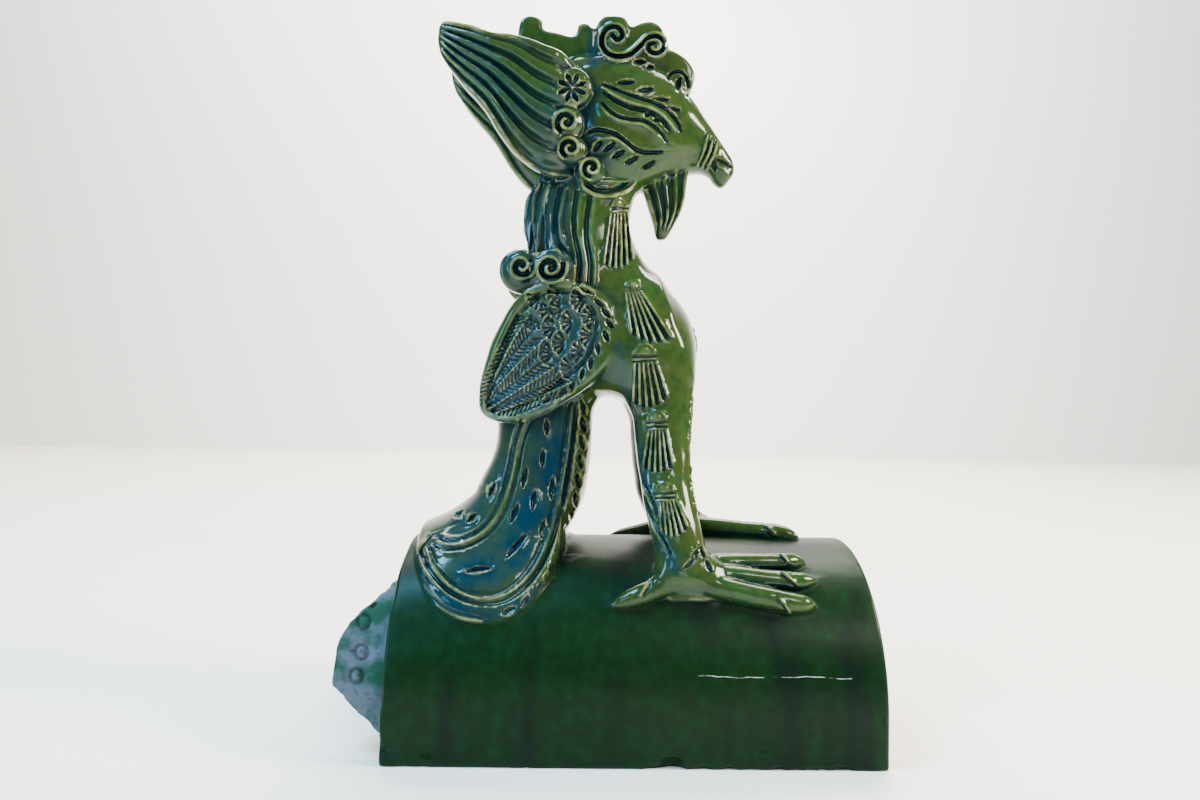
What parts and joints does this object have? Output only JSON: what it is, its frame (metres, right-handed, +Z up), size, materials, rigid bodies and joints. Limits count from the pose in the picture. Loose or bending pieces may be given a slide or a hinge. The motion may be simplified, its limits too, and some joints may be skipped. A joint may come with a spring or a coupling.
{
  "type": "ridge beast ornament",
  "caption": "Green-glazed ridge tile with a spigot end and a standing phoenix-like bird with swept-back ears, beard, wings and a tail spread over the tile.",
  "frame": {"origin": "middle of the underside, on the level of the tile's two long edges, half way between the spigot's tip and the plain end", "axes": "+Z up, +X along the roof ridge in the direction the bird faces, +Y to the bird's left"},
  "size_m": [0.311, 0.17, 0.4605],
  "materials": {
    "green_glaze": "glossy lead glaze, mottled green, blue-green where it pools in the carving and olive on the ridges"
  },
  "bodies": {
    "root": {"phoenix_ridge_tile": "green_glaze"}
  },
  "joints": []
}
